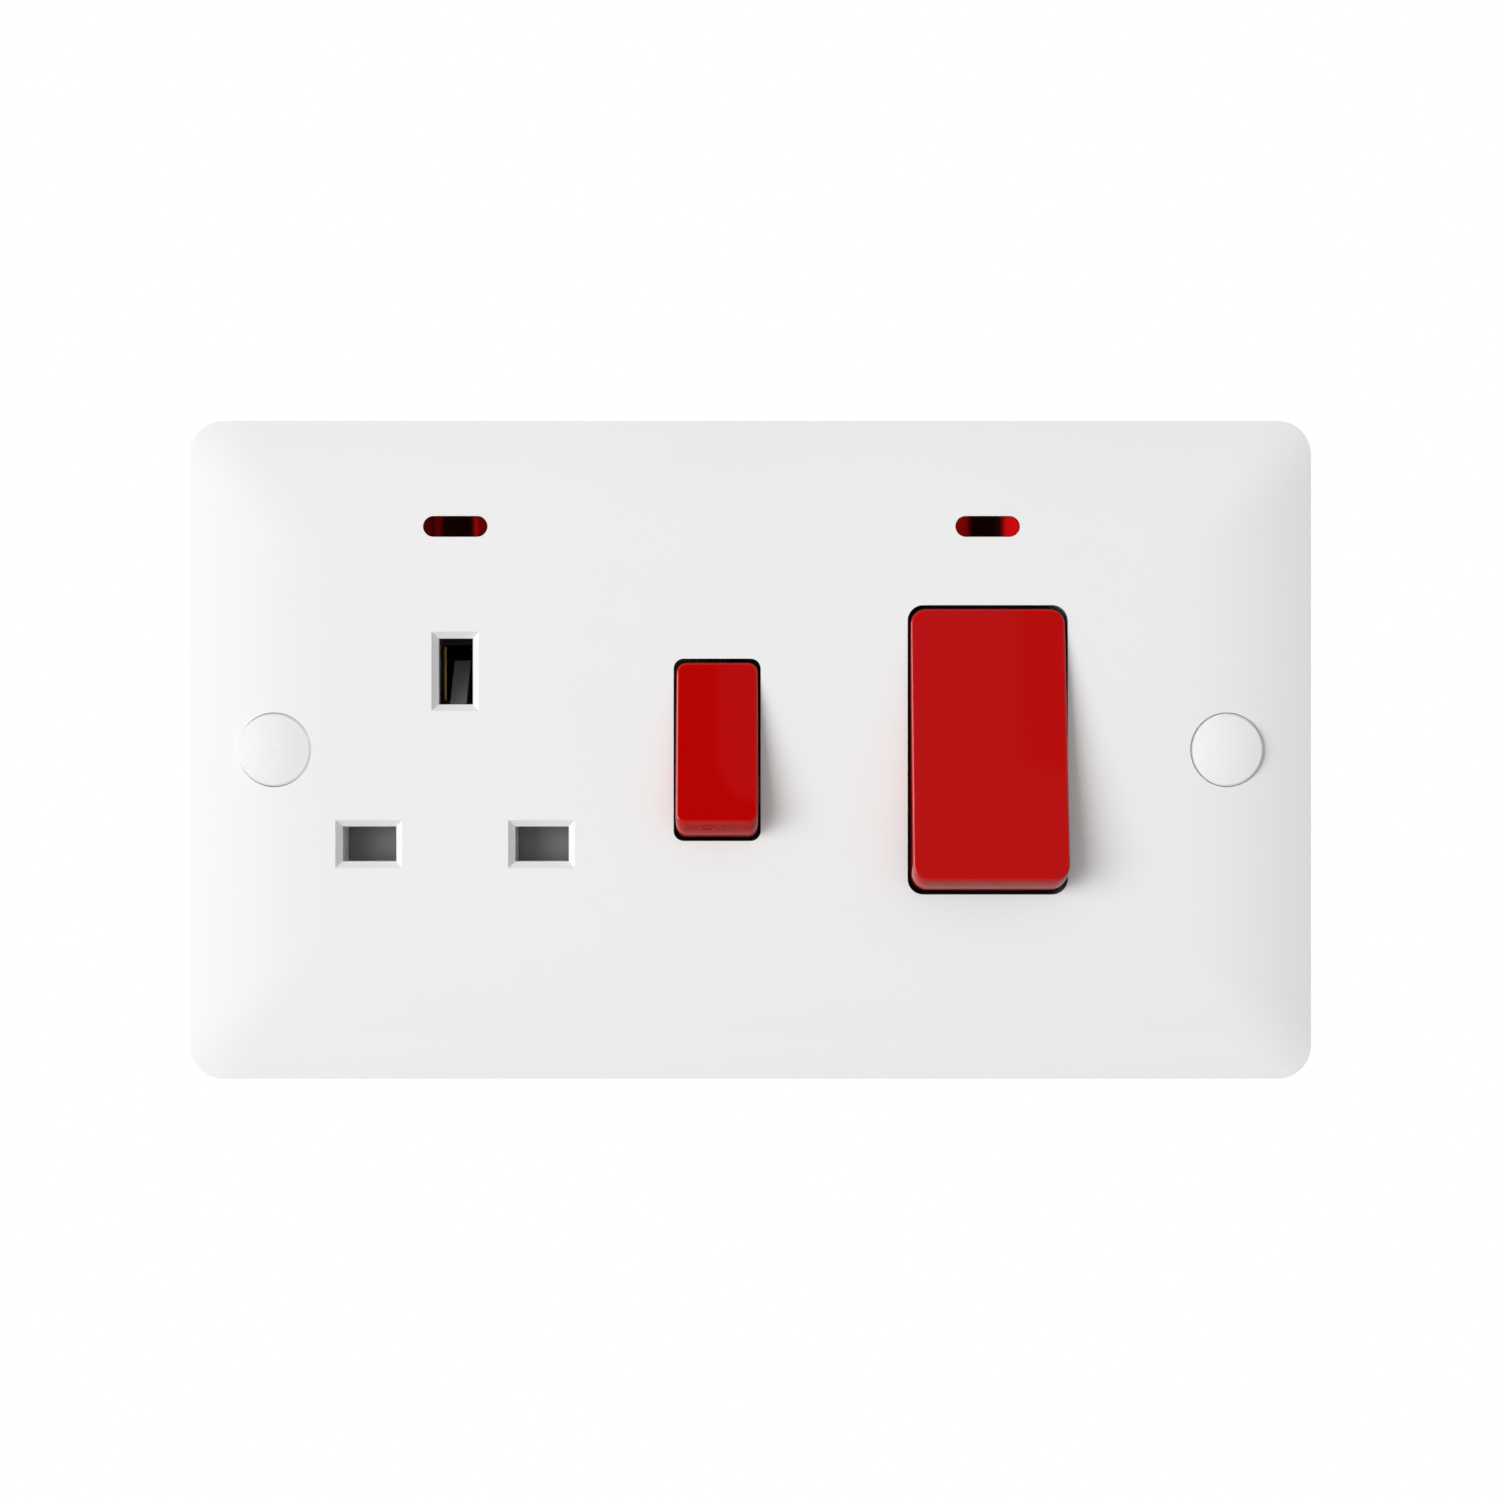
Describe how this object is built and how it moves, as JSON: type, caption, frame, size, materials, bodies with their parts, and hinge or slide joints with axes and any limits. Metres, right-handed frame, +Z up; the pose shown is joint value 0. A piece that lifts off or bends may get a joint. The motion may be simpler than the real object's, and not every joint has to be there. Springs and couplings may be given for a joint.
{
  "type": "cooker control unit with switched socket",
  "caption": "White twin wall plate with a shuttered three-pin switched socket, a large red cooker rocker, neon indicators, screw caps and rear terminals.",
  "frame": {"origin": "midway between the two fixing screws, on the wall plane", "axes": "+X to the right as seen from the front, +Y into the wall, +Z up"},
  "size_m": [0.146, 0.0399, 0.086],
  "materials": {
    "white_plastic": "smooth gloss moulding",
    "red_plastic": "smooth gloss moulding",
    "lens_red": "clear red moulding",
    "lamp_glass": "clear bulb",
    "grey_plastic": "satin moulding",
    "base_plastic": "satin moulding",
    "plunger_plastic": "satin moulding",
    "brass": "bright rolled strip and cut bar",
    "copper": "bright rolled copper",
    "screw_steel": "zinc plated",
    "spring_steel": "drawn wire"
  },
  "bodies": {
    "unit": {"front_plate": "white_plastic", "neon_lens_left": "lens_red", "neon_lens_right": "lens_red", "neon_lamp_left": "lamp_glass", "neon_lamp_right": "lamp_glass", "screw_cap_left": "white_plastic", "screw_cap_right": "white_plastic", "fixing_screws": "screw_steel", "base_screws": "screw_steel", "socket_base": "base_plastic", "cooker_base": "base_plastic", "neutral_contact": "brass", "line_contact": "brass", "earth_contact": "brass", "socket_feed": "copper", "line_link": "copper", "neutral_link": "copper", "line_supply_strip": "copper", "neutral_supply_strip": "copper", "line_load_strip": "copper", "neutral_load_strip": "copper", "line_supply_terminal": "brass", "neutral_supply_terminal": "brass", "line_load_terminal": "brass", "neutral_load_terminal": "brass", "earth_terminals": "brass", "terminal_screws": "screw_steel", "earth_screws": "screw_steel", "shutter_spring": "spring_steel"},
    "cooker_rocker": {"cooker_rocker": "red_plastic", "cooker_spring_line": "spring_steel", "cooker_spring_neutral": "spring_steel"},
    "cooker_line_contact": {"cooker_seesaw_line": "copper"},
    "cooker_neutral_contact": {"cooker_seesaw_neutral": "copper"},
    "cooker_line_plunger": {"cooker_plunger_line": "plunger_plastic"},
    "cooker_neutral_plunger": {"cooker_plunger_neutral": "plunger_plastic"},
    "socket_rocker": {"socket_rocker": "red_plastic", "socket_spring": "spring_steel"},
    "socket_contact": {"socket_seesaw": "copper"},
    "socket_plunger": {"socket_plunger": "plunger_plastic"},
    "shutter": {"shutter": "grey_plastic"}
  },
  "joints": [
    {"name": "cooker_rocker_pivot", "type": "hinge", "parent": "unit", "child": "cooker_rocker", "pos_m": [0.0305, -0.00768, 0], "axis": [1, 0, 0], "range_deg": [0, 21]},
    {"name": "cooker_line_contact_pivot", "type": "hinge", "parent": "unit", "child": "cooker_line_contact", "pos_m": [0.0271, 0.00372, 0], "axis": [1, 0, 0], "range_deg": [-14, 0]},
    {"name": "cooker_neutral_contact_pivot", "type": "hinge", "parent": "unit", "child": "cooker_neutral_contact", "pos_m": [0.0339, 0.00372, 0], "axis": [1, 0, 0], "range_deg": [-14, 0]},
    {"name": "cooker_line_plunger_slide", "type": "slide", "parent": "cooker_rocker", "child": "cooker_line_plunger", "axis": [0, -0.9833, 0.1822], "range_m": [0, 0.0012], "stiffness_N_per_m": 200, "springref_m": -0.003, "deforming": ["cooker_spring_line"]},
    {"name": "cooker_neutral_plunger_slide", "type": "slide", "parent": "cooker_rocker", "child": "cooker_neutral_plunger", "axis": [0, -0.9833, 0.1822], "range_m": [0, 0.0012], "stiffness_N_per_m": 200, "springref_m": -0.003, "deforming": ["cooker_spring_neutral"]},
    {"name": "socket_rocker_pivot", "type": "hinge", "parent": "unit", "child": "socket_rocker", "pos_m": [-0.0043, -0.00747, 0], "axis": [1, 0, 0], "range_deg": [0, 28]},
    {"name": "socket_contact_pivot", "type": "hinge", "parent": "unit", "child": "socket_contact", "pos_m": [-0.0043, 0.00294, 0], "axis": [1, 0, 0], "range_deg": [-14, 0]},
    {"name": "socket_plunger_slide", "type": "slide", "parent": "socket_rocker", "child": "socket_plunger", "axis": [0, -0.9703, 0.2419], "range_m": [0, 0.0012], "stiffness_N_per_m": 150, "springref_m": -0.003, "deforming": ["socket_spring"]},
    {"name": "shutter_slide", "type": "slide", "parent": "unit", "child": "shutter", "axis": [0, 0, -1], "range_m": [0, 0.0057], "stiffness_N_per_m": 60, "springref_m": -0.006, "deforming": ["shutter_spring"]}
  ],
  "couplings": [
    {"joint": "cooker_line_contact_pivot", "follows": "cooker_rocker_pivot", "ratio": -0.66666},
    {"joint": "cooker_neutral_contact_pivot", "follows": "cooker_rocker_pivot", "ratio": -0.66666},
    {"joint": "socket_contact_pivot", "follows": "socket_rocker_pivot", "ratio": -0.5}
  ]
}
